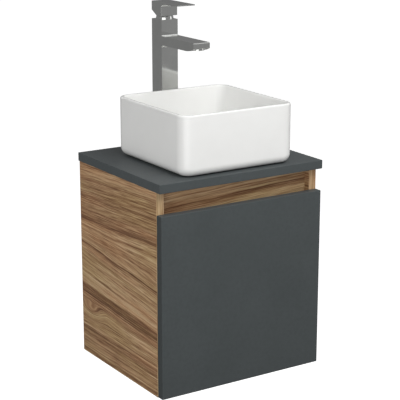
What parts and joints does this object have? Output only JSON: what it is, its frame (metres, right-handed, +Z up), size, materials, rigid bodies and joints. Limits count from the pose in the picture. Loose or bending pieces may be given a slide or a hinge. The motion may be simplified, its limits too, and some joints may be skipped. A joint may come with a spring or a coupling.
{
  "type": "vanity unit with basin",
  "caption": "Wall-hung vanity unit: walnut-decor carcass, anthracite worktop and pull-out front with a grip recess, square countertop basin and tall square lever tap.",
  "frame": {"origin": "under the middle of the worktop, level with the carcass's lower edge", "axes": "+X to the right, +Y towards the wall, +Z up"},
  "size_m": [0.41, 0.35, 0.789],
  "materials": {
    "walnut_board": "walnut decor, matt",
    "inner_board": "walnut decor, matt",
    "anthracite_board": "anthracite melamine, matt",
    "hardboard": "thin hardboard",
    "box_board": "grey melamine",
    "beech": "plain",
    "zinc": "zinc plated",
    "steel": "zinc plated sheet",
    "ceramic": "white gloss glaze",
    "rubber": "matt",
    "chrome": "polished",
    "brass": "turned",
    "white_plastic": "moulded",
    "grey_plastic": "moulded",
    "screw_steel": "machined"
  },
  "bodies": {
    "cabinet": {"side_panel_left": "walnut_board", "side_panel_right": "walnut_board", "grip_rail": "walnut_board", "bottom_panel": "inner_board", "rear_rail": "inner_board", "worktop": "anthracite_board", "back_panel": "hardboard", "carcass_dowels": "beech", "cam_locks": "zinc", "cam_bolts": "zinc", "runner_screws": "zinc", "bracket_screws": "zinc", "worktop_brackets": "steel", "wall_plates": "steel", "cabinet_hangers": "steel", "runner_outer_left": "steel", "runner_outer_right": "steel", "tap_washer": "steel", "basin": "ceramic", "basin_seal": "rubber", "waste_seal": "rubber", "waste_washer": "rubber", "tap_base_seal": "rubber", "tap_body": "chrome", "tap_dome": "chrome", "aerator_housing": "chrome", "waste_body": "chrome", "waste_nut": "brass", "tap_shank": "brass", "tap_nut": "brass", "cartridge_nut": "brass", "tailpipe": "white_plastic", "trap_nuts": "white_plastic", "trap_body": "white_plastic", "trap_cup": "white_plastic", "trap_outlet_pipe": "white_plastic", "tap_cartridge": "white_plastic", "aerator_insert": "white_plastic"},
    "drawer": {"drawer_front": "anthracite_board", "drawer_inner_front": "box_board", "drawer_side_left": "box_board", "drawer_side_right": "box_board", "drawer_bottom": "box_board", "drawer_back": "box_board", "trap_surround": "grey_plastic", "runner_inner_left": "steel", "runner_inner_right": "steel", "drawer_screws": "zinc", "front_bumpers": "rubber"},
    "runner_middles": {"runner_middle_left": "steel", "runner_middle_right": "steel", "runner_balls": "steel", "runner_cages": "steel"},
    "plug": {"waste_plug": "chrome", "plug_ring": "rubber"},
    "lever_carrier": {"cartridge_driver": "white_plastic"},
    "lever": {"cartridge_stem": "screw_steel", "lever_handle": "chrome", "lever_screw": "screw_steel"}
  },
  "joints": [
    {"name": "drawer_slide", "type": "slide", "parent": "cabinet", "child": "drawer", "axis": [0, -1, 0], "range_m": [0, 0.25]},
    {"name": "runner_middle_slide", "type": "slide", "parent": "cabinet", "child": "runner_middles", "axis": [0, -1, 0], "range_m": [0, 0.125]},
    {"name": "plug_slide", "type": "slide", "parent": "cabinet", "child": "plug", "axis": [0, 0, -1], "range_m": [0, 0.0067]},
    {"name": "tap_swivel", "type": "hinge", "parent": "cabinet", "child": "lever_carrier", "pos_m": [0, 0.14, 0.75], "axis": [0, 0, 1], "range_deg": [-45, 45]},
    {"name": "tap_lift", "type": "hinge", "parent": "lever_carrier", "child": "lever", "pos_m": [0, 0.14, 0.75], "axis": [-1, 0, 0], "range_deg": [0, 25]}
  ],
  "couplings": [
    {"joint": "runner_middle_slide", "follows": "drawer_slide", "ratio": 0.5}
  ]
}
